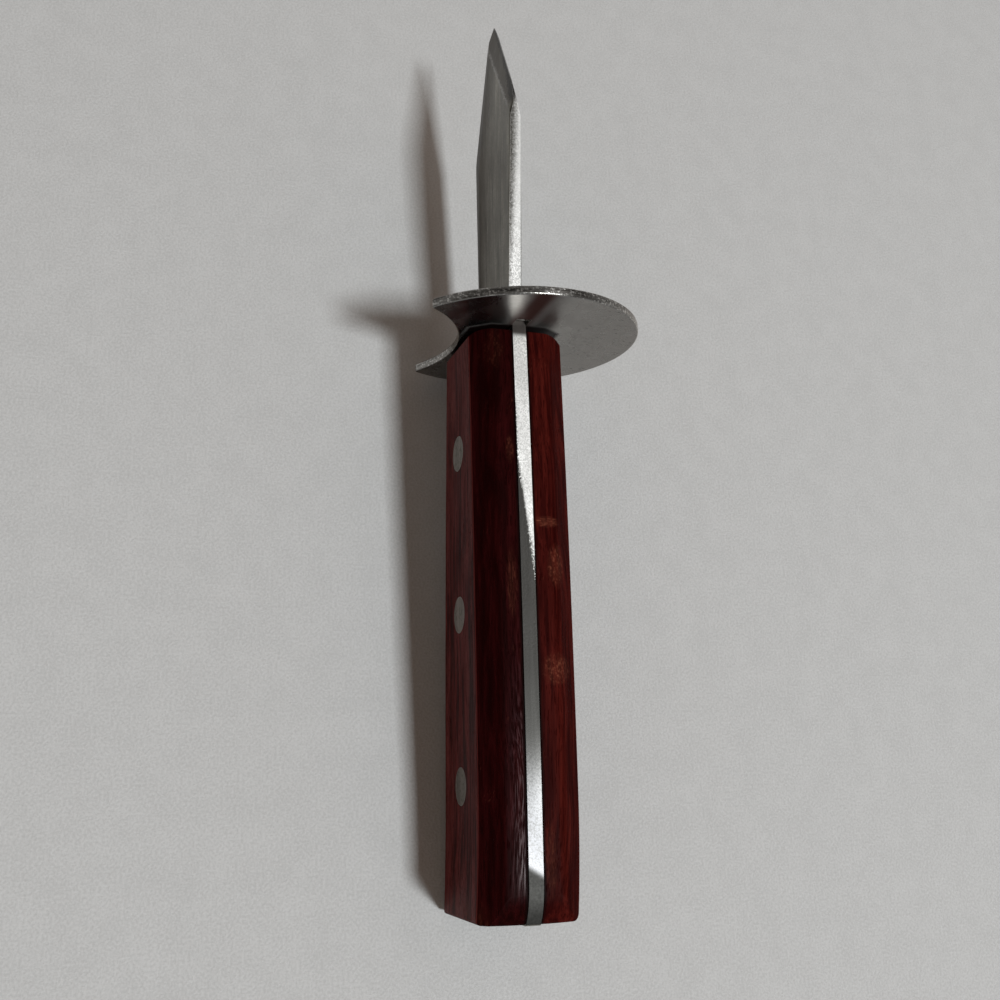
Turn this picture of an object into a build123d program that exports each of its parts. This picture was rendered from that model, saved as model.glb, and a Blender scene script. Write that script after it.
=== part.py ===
from build123d import *
import os
from math import asin, atan2, cos, hypot, radians, sin, sqrt

# Oyster knife with a full tang, a round guard and a riveted wooden handle.
# The knife has its own axis: x runs from the guard's rear face towards the tip,
# y towards the knife's left, z towards the spine. It lies as it rests on a table,
# on the guard's rim and on the handle's lower corner at the butt. Millimetres.

# Steel stock of the blade and tang
stock_thickness = 2.5
overrun = 3.0

# Handle seen from the side: half its height at the guard, and what it gains behind
handle_length = 102.0
height_front = 9.6
edge_rise = 2.8
butt_corner_run = 6.0
butt_corner_drop = 2.0
butt_corner_round = 0.8

# Handle across: two scales with chamfered long edges
scale_thickness = 7.4
chamfer_drop, chamfer_in = 2.7, 3.6
crease_round = 0.35
shoulder_round = 3.0

# Scale ends, seen from above
scale_gap = 1.1
front_corner_back, front_corner_in = 1.1, 2.4
butt_bow = 0.2
butt_shaping_run = 20.0
left_butt_flare, right_butt_taper = 0.45, 0.8
left_butt_corner, right_butt_corner = 0.6, 1.2
corner_fullness_share = 0.32

# Tang edge and the bedding film beside it
tang_proud = 0.1
tang_overhang = 0.2
film_thickness = 0.15
film_recess = 0.3

# Rivets: a tubular half from the left and a pin half from the right
first_rivet = 22.0
rivet_spacing = 29.2
head_radius = 3.2
head_thickness = 1.8
tube_radius = 2.4
pin_radius = 1.5
rivet_clearance = 0.05
tube_reach = 2.6
pin_reach = 3.4

# Blade seen from the side
neck_end = 1.0
heel = 2.4
heel_spine, heel_edge = 7.8, 10.0
corner_x, corner_z = 44.3, 10.3
clip_bow = 1.1
tip_x, tip_z = 67.6, -1.5
nose_x, nose_z = 64.9, -4.9
belly_x, belly_z = 43.5, -14.0
belly_round = 9.0
nose_round = 5.0

# Blade across: the flats curve in towards the tip, the bevels meet the edge
taper_start = 4.0
tip_half_thickness = 0.4
edge_half_thickness = 0.3
belly_bevel, nose_bevel = 3.8, 1.8
clip_corner_bevel, clip_tip_bevel = 1.55, 4.1
clip_corner_half_thickness, clip_tip_half_thickness = 0.42, 0.08

# Guard
guard_radius = 23.75
guard_thickness = 1.6
guard_aside, guard_up = -1.5, 0.5
guard_lean = 1.7
rim_round = 0.35
notch_radius = 24.8
notch_y, notch_z = 32.9, -5.1
notch_tip_round = 0.8
slot_clearance = 0.1

half_stock = stock_thickness / 2
film_face = half_stock + film_thickness
side_face = film_face + scale_thickness
blade_reach = tip_x + overrun
tang_end = -handle_length - tang_overhang
height_butt = height_front + edge_rise
rivet_places = [-first_rivet - i * rivet_spacing for i in range(3)]
lean = radians(guard_lean)

# The handle's edge is an arc that is highest where the butt corner begins
turn_x = butt_corner_run - handle_length
edge_radius = (turn_x**2 + edge_rise**2) / (2 * edge_rise)


def edge_height(x):
    """Half the handle's height at x."""
    return height_butt - edge_radius + sqrt(edge_radius**2 - (x - turn_x) ** 2)


# The floor touches the butt's lower corner arc and the rim's rear rounding
corner_run = turn_x - tang_end
corner_radius = (corner_run**2 + butt_corner_drop**2) / (2 * butt_corner_drop)
arc_z = corner_radius - height_butt - tang_proud
rim_x = rim_round * cos(lean) - guard_aside * sin(lean)
rim_z = guard_up - guard_radius + rim_round
span = hypot(rim_x - turn_x, rim_z - arc_z)
dip = atan2(rim_z - arc_z, rim_x - turn_x)
lay = asin((rim_round - corner_radius) / span) - dip
height = corner_radius - turn_x * sin(lay) - arc_z * cos(lay)

# The origin is the middle of the knife's footprint, whose left end is a notch tip
disc_reach = guard_radius - notch_tip_round
notch_reach = notch_radius + notch_tip_round
away_y, away_z = notch_y - guard_aside, notch_z - guard_up
away = hypot(away_y, away_z)
chord = (disc_reach**2 - notch_reach**2 + away**2) / (2 * away)
half_chord = sqrt(disc_reach**2 - chord**2)
notch_tip_y = (chord * away_y - half_chord * away_z) / away
left_reach = guard_aside + notch_tip_y + notch_tip_round
right_reach = guard_aside - guard_radius
front_reach = tip_x * cos(lay) - tip_z * sin(lay)
butt_height = height_butt - butt_corner_drop - butt_corner_round
back_reach = tang_end * cos(lay) - butt_height * sin(lay)

knife = Plane(
    origin=(-(front_reach + back_reach) / 2, -(left_reach + right_reach) / 2, height),
    x_dir=(cos(lay), 0, sin(lay)),
    z_dir=(-sin(lay), 0, cos(lay)),
)


def spot(x, y, z):
    """A point of the knife, given along its own axes."""
    return knife.from_local_coords(Vector(x, y, z))


def heading(x, y, z):
    """A direction given along the knife's own axes."""
    return spot(x, y, z) - knife.origin


def station(x):
    """The plane across the knife at x, with y to its right and z up."""
    return Plane(origin=spot(x, 0, 0), x_dir=heading(0, 1, 0), z_dir=heading(1, 0, 0))


def side_view(y):
    """The plane along the knife at y, seen from the right."""
    return Plane(origin=spot(0, y, 0), x_dir=heading(1, 0, 0), z_dir=heading(0, -1, 0))


def edge_arc(front, back, proud):
    """The handle's upper edge between two stations, raised by proud."""
    middle = (front + back) / 2
    return ThreePointArc(*[(x, edge_height(x) + proud) for x in (front, middle, back)])


def handle_band():
    """The side outline of a handle whose edge runs past both of its ends."""
    with BuildSketch(side_view(0)) as band:
        with BuildLine():
            edge = edge_arc(overrun, -handle_length - overrun, 0)
            Line(edge @ 1, (-handle_length - overrun, 0))
            Line((overrun, 0), edge @ 0)
            mirror(about=Plane.XZ)
        make_face()
    return band.sketch


def handle_profile(y, proud, front, butt):
    """The handle's side outline at y, from front to butt, grown by proud."""
    with BuildSketch(side_view(y)) as profile:
        with BuildLine():
            edge = edge_arc(front, turn_x, proud)
            corner = TangentArc(
                edge @ 1,
                (butt, height_butt + proud - butt_corner_drop),
                tangent=edge % 1,
            )
            Line(corner @ 1, (butt, 0))
            Line((front, 0), edge @ 0)
            mirror(about=Plane.XZ)
        make_face()
        fillet(profile.vertices().group_by(Axis.X)[0], butt_corner_round)
    return profile.sketch


def blade_profile():
    """The blade's side outline, with the neck that runs back into the tang."""
    clip_x = (corner_x + tip_x) / 2
    clip_z = (corner_z + tip_z) / 2
    slope = atan2(corner_z - tip_z, tip_x - corner_x)
    with BuildSketch(side_view(0)) as profile:
        with BuildLine():
            top = Polyline(
                (-overrun, height_front),
                (neck_end, height_front),
                (heel, heel_spine),
                (corner_x, corner_z),
            )
            ThreePointArc(
                top @ 1,
                (clip_x + clip_bow * sin(slope), clip_z + clip_bow * cos(slope)),
                (tip_x, tip_z),
            )
            Polyline(
                (tip_x, tip_z),
                (nose_x, nose_z),
                (belly_x, belly_z),
                (heel, -heel_edge),
                (neck_end, -height_front),
                (-overrun, -height_front),
                (-overrun, height_front),
            )
        make_face()
        fillet(profile.vertices().sort_by(Axis.Y)[0], belly_round)
        fillet(profile.vertices().sort_by_distance((nose_x, nose_z))[0], nose_round)
    return profile.sketch


def blade_taper():
    """The blade seen from above: parallel flats that curve in towards the tip."""
    with BuildSketch(knife) as taper:
        with BuildLine():
            back = Line((-overrun, 0), (-overrun, half_stock))
            flat = Line(back @ 1, (taper_start, half_stock))
            curve = TangentArc(flat @ 1, (blade_reach, tip_half_thickness), tangent=flat % 1)
            Line(curve @ 1, (blade_reach, 0))
            mirror(about=Plane.XZ)
        make_face()
    return taper.sketch


def flat_half(x):
    """Half the blade's thickness at x, on the curve of its flats."""
    run, drop = blade_reach - taper_start, half_stock - tip_half_thickness
    radius = (run**2 + drop**2) / (2 * drop)
    return half_stock - radius + sqrt(radius**2 - (x - taper_start) ** 2)


def bevel_plane(side, first, second, third):
    """The plane through three points of one side, with its normal outwards."""
    a, b, c = (spot(x, side * y, z) for x, y, z in (first, second, third))
    normal = (b - a).cross(c - a)
    outwards = normal if normal.dot(heading(0, side, 0)) > 0 else -normal
    return Plane(origin=a, x_dir=b - a, z_dir=outwards)


def belly_plane(side):
    """The bevel from the heel to the belly, which starts at nothing."""
    return bevel_plane(
        side,
        (heel, half_stock, -heel_edge),
        (belly_x, edge_half_thickness, belly_z),
        (belly_x, flat_half(belly_x), belly_z + belly_bevel),
    )


def nose_plane(side):
    """The bevel from the belly to the nose."""
    length = hypot(nose_x - belly_x, nose_z - belly_z)
    inner_x = nose_x - nose_bevel * (nose_z - belly_z) / length
    inner_z = nose_z + nose_bevel * (nose_x - belly_x) / length
    return bevel_plane(
        side,
        (belly_x, edge_half_thickness, belly_z),
        (nose_x, edge_half_thickness, nose_z),
        (inner_x, flat_half(inner_x), inner_z),
    )


def clip_waste(side, run):
    """The steel ground away beside the clip, across it at run from its corner."""
    length = hypot(tip_x - corner_x, corner_z - tip_z)
    fall = atan2(corner_z - tip_z, tip_x - corner_x)
    share = run / length
    width = clip_corner_bevel + share * (clip_tip_bevel - clip_corner_bevel)
    thinning = clip_tip_half_thickness - clip_corner_half_thickness
    edge = clip_corner_half_thickness + share * thinning
    inner_x = corner_x + run * cos(fall) - width * sin(fall)
    steepness = (flat_half(inner_x) - edge) / width
    across = Plane(
        origin=spot(corner_x + run * cos(fall), 0, corner_z - run * sin(fall)),
        x_dir=heading(sin(fall), 0, cos(fall)),
        z_dir=heading(-cos(fall) * side, 0, sin(fall) * side),
    )
    with BuildSketch(across) as waste:
        with BuildLine():
            Polyline(
                (-width - overrun, edge + steepness * (width + overrun)),
                (overrun, edge - steepness * overrun),
                (overrun, guard_radius),
                (-width - overrun, guard_radius),
                close=True,
            )
        make_face()
    return waste.sketch


def rivet_circles(radius, y):
    """Circles for the three rivets, on the plane along the knife at y."""
    with BuildSketch(side_view(y)) as circles:
        with Locations(*[(x, 0) for x in rivet_places]):
            Circle(radius + rivet_clearance)
    return circles.sketch


# Blade and tang, one piece of steel with three rivet holes
with BuildPart() as blade_and_tang:
    extrude(blade_profile(), amount=stock_thickness, both=True)
    extrude(blade_taper(), amount=guard_radius, both=True, mode=Mode.INTERSECT)
    for side in (1, -1):
        split(bisect_by=belly_plane(side), keep=Keep.BOTTOM)
        split(bisect_by=nose_plane(side), keep=Keep.BOTTOM)
        clip_ends = (-overrun, blade_reach - corner_x)
        loft([clip_waste(side, run) for run in clip_ends], ruled=True, mode=Mode.SUBTRACT)
    extrude(handle_profile(0, tang_proud, 0, tang_end), amount=half_stock, both=True)
    holes = rivet_circles(tube_radius, 0)
    extrude(holes, amount=half_stock, both=True, mode=Mode.SUBTRACT)


# Guard, a round plate with a thumb notch and a slot for the tang
guard_face = Plane(
    origin=spot(0, 0, 0),
    x_dir=heading(-sin(lean), cos(lean), 0),
    z_dir=heading(cos(lean), sin(lean), 0),
)
with BuildPart() as guard_plate:
    with BuildSketch(guard_face) as disc:
        with Locations((guard_aside, guard_up)):
            Circle(guard_radius)
        with Locations((notch_y, notch_z)):
            Circle(notch_radius, mode=Mode.SUBTRACT)
        fillet(disc.vertices(), notch_tip_round)
    extrude(amount=guard_thickness)
    fillet(guard_plate.edges().filter_by(GeomType.CIRCLE), rim_round)
    slot_height = 2 * (height_butt + tang_proud + slot_clearance)
    with BuildSketch(station(-overrun)):
        Rectangle(stock_thickness + 2 * slot_clearance, slot_height)
    extrude(amount=2 * overrun + guard_thickness, mode=Mode.SUBTRACT)


def scale_section(x, side):
    """The scale's outline at x, a little taller than the handle."""
    flat = edge_height(x) - chamfer_drop
    high = flat + 2 * chamfer_drop
    narrow = side_face - 2 * chamfer_in
    wide, low = side_face + chamfer_in, flat - chamfer_drop
    upper = [(film_face, high), (narrow, high), (wide, low)]
    outline = upper + [(y, -z) for y, z in reversed(upper)]
    with BuildSketch(station(x)) as section:
        with BuildLine():
            Polyline(*[(side * y, z) for y, z in outline], close=True)
        make_face()
    return section.sketch


def scale_plan(side):
    """The scale seen from above: the left side flares at the butt, the right tapers."""
    front, butt = -scale_gap, -handle_length
    swell = left_butt_flare if side > 0 else -right_butt_taper
    round_off = left_butt_corner if side > 0 else right_butt_corner
    round_y = side_face + swell - round_off
    round_x = butt + butt_bow + round_off
    with BuildSketch(knife) as plan:
        with BuildLine():
            face = Line((front, 0), (front, side * (side_face - front_corner_in)))
            corner = TangentArc(
                face @ 1,
                (front - front_corner_back, side * side_face),
                tangent=face % 1,
            )
            flat = Line(corner @ 1, (butt + butt_shaping_run, side * side_face))
            shaping = TangentArc(
                flat @ 1,
                (round_x, side * (side_face + swell)),
                tangent=flat % 1,
            )
            inset = round_off * corner_fullness_share
            rounding = ThreePointArc(
                shaping @ 1,
                (butt + butt_bow + inset, side * (side_face + swell - inset)),
                (butt + butt_bow, side * round_y),
            )
            ThreePointArc(
                rounding @ 1,
                (butt + butt_bow / 4, side * round_y / 2),
                (butt, 0),
            )
            Line((butt, 0), (front, 0))
        make_face()
    return plan.sketch


def long_lines(piece):
    """The piece's lengthwise edges, from the knife's middle plane outwards."""
    lines = [edge for edge in piece.edges() if edge.length > handle_length / 2]
    return sorted(lines, key=lambda edge: abs(knife.to_local_coords(edge.center()).Y))


def make_scale(side):
    """One wooden scale, with its stepped rivet holes."""
    stations = (overrun, -handle_length / 2, -handle_length - overrun)
    with BuildPart() as scale:
        loft([scale_section(x, side) for x in stations])
        extrude(handle_band(), amount=guard_radius, both=True, mode=Mode.INTERSECT)
        fillet(long_lines(scale)[2:4], shoulder_round)
        extrude(scale_plan(side), amount=guard_radius, both=True, mode=Mode.INTERSECT)
        fillet(long_lines(scale)[-2:], crease_round)
        seen_from_side = handle_profile(0, tang_proud, overrun, -handle_length)
        extrude(seen_from_side, amount=guard_radius, both=True, mode=Mode.INTERSECT)
        outwards = -side * guard_radius
        extrude(rivet_circles(tube_radius, 0), amount=outwards, mode=Mode.SUBTRACT)
        head_seats = rivet_circles(head_radius, side * (side_face - head_thickness))
        extrude(head_seats, amount=outwards, mode=Mode.SUBTRACT)
    return scale


def make_film(side):
    """The thin dark bedding film between the tang and one scale."""
    front = -scale_gap - film_recess
    with BuildPart() as film:
        face = handle_profile(side * half_stock, -film_recess, front, -handle_length)
        extrude(face, amount=-side * film_thickness)
        holes = rivet_circles(tube_radius, 0)
        extrude(holes, amount=film_face, both=True, mode=Mode.SUBTRACT)
    return film


def make_tube_half(x):
    """The rivet half with a head on the left and a bored shank."""
    head_seat = side_face - head_thickness
    with BuildPart() as rivet:
        with BuildSketch(side_view(head_seat)):
            with Locations((x, 0)):
                Circle(head_radius)
        extrude(amount=-head_thickness)
        with BuildSketch(side_view(head_seat)):
            with Locations((x, 0)):
                Circle(tube_radius)
                Circle(pin_radius + rivet_clearance, mode=Mode.SUBTRACT)
        extrude(amount=head_seat + tube_reach)
    return rivet


def make_pin_half(x):
    """The rivet half with a head on the right and a solid pin."""
    head_seat = side_face - head_thickness
    with BuildPart() as rivet:
        with BuildSketch(side_view(-head_seat)):
            with Locations((x, 0)):
                Circle(head_radius)
        extrude(amount=head_thickness)
        with BuildSketch(side_view(-head_seat)):
            with Locations((x, 0)):
                Circle(pin_radius)
        extrude(amount=-head_seat - pin_reach)
    return rivet


def keep(piece, node):
    """Label a finished piece and write it out."""
    piece.part.label = node
    export_step(piece.part, f"parts/{node}.step")


os.makedirs("parts", exist_ok=True)
keep(blade_and_tang, "blade_and_tang")
keep(guard_plate, "guard_plate")
for name, side in (("left", 1), ("right", -1)):
    keep(make_scale(side), f"{name}_scale")
    keep(make_film(side), f"{name}_bedding_film")
for name, x in zip(("front", "middle", "rear"), rivet_places):
    keep(make_tube_half(x), f"{name}_rivet_tube_half")
    keep(make_pin_half(x), f"{name}_rivet_pin_half")
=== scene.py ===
"""Dresses an oyster knife that rests on its guard and butt on a pale sheet."""

import logging
import math
from dataclasses import dataclass
from enum import Enum
from typing import Any

import bpy
from mathutils import Euler, Matrix, Vector

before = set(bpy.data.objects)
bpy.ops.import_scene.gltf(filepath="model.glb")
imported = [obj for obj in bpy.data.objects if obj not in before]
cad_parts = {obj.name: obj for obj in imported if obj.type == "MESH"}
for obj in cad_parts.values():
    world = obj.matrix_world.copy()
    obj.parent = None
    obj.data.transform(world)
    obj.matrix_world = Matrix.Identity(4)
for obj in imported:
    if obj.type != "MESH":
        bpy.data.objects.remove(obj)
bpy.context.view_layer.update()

Socket = bpy.types.NodeSocket
Triple = tuple[float, float, float]
Colour = Triple
Span = tuple[float, float]

LOG = logging.getLogger("oyster knife")
MILLIMETRE = 0.001
ORIGIN = (0.0, 0.0, 0.0)


class Kind(Enum):
    """The kinds of value that a node group takes in and puts out."""

    NUMBER = "NodeSocketFloat"
    COLOUR = "NodeSocketColor"
    VECTOR = "NodeSocketVector"


class Wiring:
    """Adds nodes to one node tree and joins them."""

    def __init__(self, tree: bpy.types.NodeTree) -> None:
        """Keeps the tree that the nodes go into."""
        self.tree = tree

    def node(self, kind: str, **settings: Any) -> bpy.types.Node:
        """Adds a node.

        Args:
            kind: Blender's name for the node.
            settings: properties to set on it.

        Returns:
            The new node.
        """
        made = self.tree.nodes.new(kind)
        for name, value in settings.items():
            setattr(made, name, value)
        return made

    def feed(self, socket: Socket, value: Any) -> None:
        """Joins value to the socket, or sets it there where value is plain.

        Args:
            socket: the input that takes the value.
            value: a socket, a number, a vector or a colour.
        """
        if isinstance(value, bpy.types.NodeSocket):
            self.tree.links.new(value, socket)
        elif socket.type == "RGBA" and len(value) == 3:
            socket.default_value = (*value, 1.0)
        else:
            socket.default_value = value

    def fed(
        self, kind: str, values: dict[Any, Any], output: Any = 0, **settings: Any
    ) -> Socket:
        """Adds a node with its inputs joined or set.

        Args:
            kind: Blender's name for the node.
            values: the inputs' values, by name or number.
            output: the name or number of the output that is wanted.
            settings: properties to set on the node.

        Returns:
            The output's socket.
        """
        made = self.node(kind, **settings)
        for name, value in values.items():
            self.feed(made.inputs[name], value)
        return made.outputs[output]

    def calc(self, operation: str, first: Any, second: Any = 0.0) -> Socket:
        """Works out one number from two.

        Args:
            operation: the Math node's operation.
            first: its first value.
            second: its second value.

        Returns:
            The result's socket.
        """
        return self.fed("ShaderNodeMath", {0: first, 1: second}, operation=operation)

    def times(self, first: Any, *others: Any) -> Any:
        """Multiplies numbers.

        Args:
            first: the first factor.
            others: the other factors.

        Returns:
            The product's socket.
        """
        for other in others:
            first = self.calc("MULTIPLY", first, other)
        return first

    def jitter(self, noise: Socket, reach: float) -> Socket:
        """Turns a noise into a number that swings about 0."""
        return self.times(self.calc("SUBTRACT", noise, 0.5), reach)

    def vector(self, operation: str, first: Any, second: Any) -> Socket:
        """Works out one vector, or the dot product, from two.

        Args:
            operation: the Vector Math node's operation.
            first: its first vector.
            second: its second vector.

        Returns:
            The result's socket.
        """
        output = "Value" if operation == "DOT_PRODUCT" else "Vector"
        values = {0: first, 1: second}
        return self.fed("ShaderNodeVectorMath", values, output, operation=operation)

    def spread(self, place: Any, sizes: Any) -> Socket:
        """Divides a place by the sizes that a pattern has along the axes."""
        return self.vector("DIVIDE", place, sizes)

    def parts(self, vector: Any) -> tuple[Socket, Socket, Socket]:
        """Splits a vector.

        Args:
            vector: the vector's socket.

        Returns:
            The sockets of its three numbers.
        """
        made = self.node("ShaderNodeSeparateXYZ")
        self.feed(made.inputs[0], vector)
        return made.outputs[0], made.outputs[1], made.outputs[2]

    def joined(self, along: Any, aside: Any, up: Any) -> Socket:
        """Makes a vector.

        Args:
            along: its first number.
            aside: its second number.
            up: its third number.

        Returns:
            The vector's socket.
        """
        made = self.node("ShaderNodeCombineXYZ")
        for socket, value in zip(made.inputs, (along, aside, up)):
            self.feed(socket, value)
        return made.outputs[0]

    def noise(self, place: Any, detail: float = 2.0, coarse: float = 0.5) -> Socket:
        """Smooth noise, one feature to a unit of place.

        Args:
            place: where the noise is read.
            detail: how many finer layers it has.
            coarse: how strong the finer layers are.

        Returns:
            The noise's socket, about 0 to 1.
        """
        values = {"Vector": place, "Scale": 1.0, "Detail": detail, "Roughness": coarse}
        return self.fed("ShaderNodeTexNoise", values, noise_dimensions="3D")

    def cells(self, place: Any) -> Socket:
        """Gives each of many small cells its own chance number.

        Args:
            place: where the cells are read, one cell to a unit.

        Returns:
            The number's socket, 0 to 1.
        """
        values = {"Vector": place, "Scale": 1.0}
        tones = self.fed("ShaderNodeTexVoronoi", values, "Color", voronoi_dimensions="3D")
        return self.parts(tones)[0]

    def between(self, value: Any, low: Any, high: Any) -> Socket:
        """A smooth step.

        Args:
            value: the number that is looked at.
            low: where the step leaves 0.
            high: where it reaches 1.

        Returns:
            The step's socket, 0 to 1.
        """
        values = {"Value": value, "From Min": low, "From Max": high}
        return self.fed("ShaderNodeMapRange", values, interpolation_type="SMOOTHSTEP")

    def lerp(self, share: Any, low: Any, high: Any) -> Socket:
        """A number between low and high.

        Args:
            share: 0 for low, 1 for high.
            low: the number at 0.
            high: the number at 1.

        Returns:
            The number's socket.
        """
        return self.fed("ShaderNodeMix", {0: share, 2: low, 3: high}, data_type="FLOAT")

    def blend(self, share: Any, first: Any, second: Any) -> Socket:
        """A colour between two.

        Args:
            share: 0 for the first, 1 for the second.
            first: the colour at 0.
            second: the colour at 1.

        Returns:
            The colour's socket.
        """
        values = {0: share, 6: first, 7: second}
        return self.fed("ShaderNodeMix", values, 2, data_type="RGBA")

    def lay(self, under: Any, over: Any, mask: Any, strength: float) -> Socket:
        """Lays a colour over another with part of its strength.

        Args:
            under: the colour below.
            over: the colour on top.
            mask: where it lies, 0 to 1.
            strength: how much it covers there.

        Returns:
            The colour's socket.
        """
        return self.blend(self.times(mask, strength), under, over)

    def relief(
        self, height: Any, depth: float, under: Socket | None = None
    ) -> Socket:
        """A bump.

        Args:
            height: the pattern, 0 to 1.
            depth: how deep it is, in metres.
            under: the normal of a coarser bump that this one lies on.

        Returns:
            The bumped normal's socket.
        """
        values = {"Strength": 1.0, "Distance": depth, "Height": height}
        if under is not None:
            values["Normal"] = under
        return self.fed("ShaderNodeBump", values)


class Effect:
    """A surface effect: one node group, placed in each material that uses it."""

    title = ""
    takes: dict[str, tuple[Kind, Any]] = {"Place": (Kind.VECTOR, ORIGIN)}
    gives: dict[str, Kind] = {}

    def __init__(self) -> None:
        """Builds the group with its named inputs and outputs."""
        self.tree = bpy.data.node_groups.new(self.title, "ShaderNodeTree")
        faces = self.tree.interface
        for name, (kind, usual) in self.takes.items():
            socket = faces.new_socket(name, in_out="INPUT", socket_type=kind.value)
            socket.default_value = usual
        for name, kind in self.gives.items():
            faces.new_socket(name, in_out="OUTPUT", socket_type=kind.value)
        wiring = Wiring(self.tree)
        entry = wiring.node("NodeGroupInput")
        leave = wiring.node("NodeGroupOutput")
        for name, value in self.wire(wiring, entry.outputs).items():
            wiring.feed(leave.inputs[name], value)

    def wire(self, wiring: Wiring, given: Any) -> dict[str, Socket]:
        """Wires the group's inside.

        Args:
            wiring: the group's tree.
            given: the sockets of the group's inputs, by name.

        Returns:
            The socket for each output's name.
        """
        raise NotImplementedError

    def place(self, wiring: Wiring, **given: Any) -> Any:
        """Puts the group into a tree.

        Args:
            wiring: the tree that gets it.
            given: values for the inputs, by name.

        Returns:
            The sockets of the group's outputs, by name.
        """
        made = wiring.node("ShaderNodeGroup", node_tree=self.tree)
        for name, value in given.items():
            wiring.feed(made.inputs[name.capitalize()], value)
        return made.outputs


class KnifeAxes(Effect):
    """Place and facing along the knife itself, which lies nose up on the sheet."""

    title = "Knife axes"
    takes = {}
    gives = {"Place": Kind.VECTOR, "Facing": Kind.VECTOR}
    heel = Vector((0.0176409, 0.0039321, 0.0230671))
    nose_up = math.radians(6.32648)

    def wire(self, wiring: Wiring, given: Any) -> dict[str, Socket]:
        """Turns the piece's own place and normal level.

        Args:
            wiring: the group's tree.
            given: nothing, because the group has no inputs.

        Returns:
            The place in millimetres from the blade's heel, and the normal.
        """
        source = wiring.node("ShaderNodeTexCoord")
        from_heel = wiring.vector("SUBTRACT", source.outputs["Object"], self.heel)
        grown = wiring.spread(from_heel, (MILLIMETRE,) * 3)
        return {
            "Place": self.levelled(wiring, grown),
            "Facing": self.levelled(wiring, source.outputs["Normal"]),
        }

    def levelled(self, wiring: Wiring, vector: Any) -> Socket:
        """Turns a vector by the angle at which the knife lies.

        Args:
            wiring: the group's tree.
            vector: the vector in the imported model's axes.

        Returns:
            The vector along the knife's own axes.
        """
        values = {"Vector": vector, "Angle": self.nose_up}
        return wiring.fed("ShaderNodeVectorRotate", values, rotation_type="Y_AXIS")


class Brushing(Effect):
    """Fine lines left by a belt, longer than they are wide."""

    title = "Brushing"
    takes = Effect.takes | {"Stretch": (Kind.VECTOR, (20.0, 0.1, 0.1))}
    gives = {"Lines": Kind.NUMBER}

    def wire(self, wiring: Wiring, given: Any) -> dict[str, Socket]:
        """Sums a fine and a coarse set of lines.

        Args:
            wiring: the group's tree.
            given: the place and the lines' size along each axis.

        Returns:
            The lines, 0 to 1.
        """
        fine = wiring.spread(given["Place"], given["Stretch"])
        coarse = wiring.vector("MULTIPLY", fine, (0.6, 0.3, 0.3))
        lines = wiring.lerp(0.4, wiring.noise(fine, 3.0, 0.6), wiring.noise(coarse))
        return {"Lines": wiring.between(lines, 0.25, 0.75)}


class Speckle(Effect):
    """Small pits and sparkles, as tumbled or hammered metal has."""

    title = "Speckle"
    takes = Effect.takes | {"Size": (Kind.NUMBER, 0.4), "Cover": (Kind.NUMBER, 0.5)}
    gives = {"Spots": Kind.NUMBER, "Height": Kind.NUMBER}

    def wire(self, wiring: Wiring, given: Any) -> dict[str, Socket]:
        """Gathers chance-toned grains at the wanted cover.

        Args:
            wiring: the group's tree.
            given: the place, the grains' size and how much they cover.

        Returns:
            The grains and a height, both 0 to 1.
        """
        sizes = wiring.joined(given["Size"], given["Size"], given["Size"])
        spread = wiring.spread(given["Place"], sizes)
        noise = wiring.noise(wiring.vector("MULTIPLY", spread, (0.6,) * 3), 3.0, 0.6)
        mixed = wiring.lerp(0.45, wiring.cells(spread), noise)
        level = wiring.lerp(given["Cover"], 0.7, 0.2)
        spots = wiring.between(mixed, level, wiring.calc("ADD", level, 0.3))
        return {"Spots": spots, "Height": noise}


class Scratches(Effect):
    """Thin slanting scratches, gathered in patches."""

    title = "Scratches"
    takes = Effect.takes | {
        "Slant": (Kind.VECTOR, ORIGIN),
        "Stretch": (Kind.VECTOR, (4.0, 0.12, 0.12)),
        "Patch": (Kind.NUMBER, 6.0),
        "Cover": (Kind.NUMBER, 0.4),
    }
    gives = {"Marks": Kind.NUMBER}

    def wire(self, wiring: Wiring, given: Any) -> dict[str, Socket]:
        """Stretches noise along the slant and keeps its peaks within patches.

        Args:
            wiring: the group's tree.
            given: the place, and the scratches' slant, size, patches and cover.

        Returns:
            The marks, 0 to 1.
        """
        values = {"Vector": given["Place"], "Rotation": given["Slant"]}
        turned = wiring.fed("ShaderNodeVectorRotate", values, rotation_type="EULER_XYZ")
        lines = wiring.noise(wiring.spread(turned, given["Stretch"]), 1.0)
        sizes = wiring.joined(given["Patch"], given["Patch"], given["Patch"])
        patches = wiring.noise(wiring.spread(given["Place"], sizes))
        level = wiring.lerp(given["Cover"], 0.75, 0.35)
        within = wiring.between(patches, level, wiring.calc("ADD", level, 0.15))
        return {"Marks": wiring.times(within, wiring.between(lines, 0.6, 0.72))}


class Smudges(Effect):
    """Soft clouds, such as finger marks or uneven polish."""

    title = "Smudges"
    takes = Effect.takes | {"Stretch": (Kind.VECTOR, (8.0, 8.0, 8.0))}
    gives = {"Clouds": Kind.NUMBER}

    def wire(self, wiring: Wiring, given: Any) -> dict[str, Socket]:
        """Softens noise of the wanted size."""
        spread = wiring.spread(given["Place"], given["Stretch"])
        return {"Clouds": wiring.between(wiring.noise(spread, 4.0, 0.55), 0.3, 0.7)}


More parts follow.
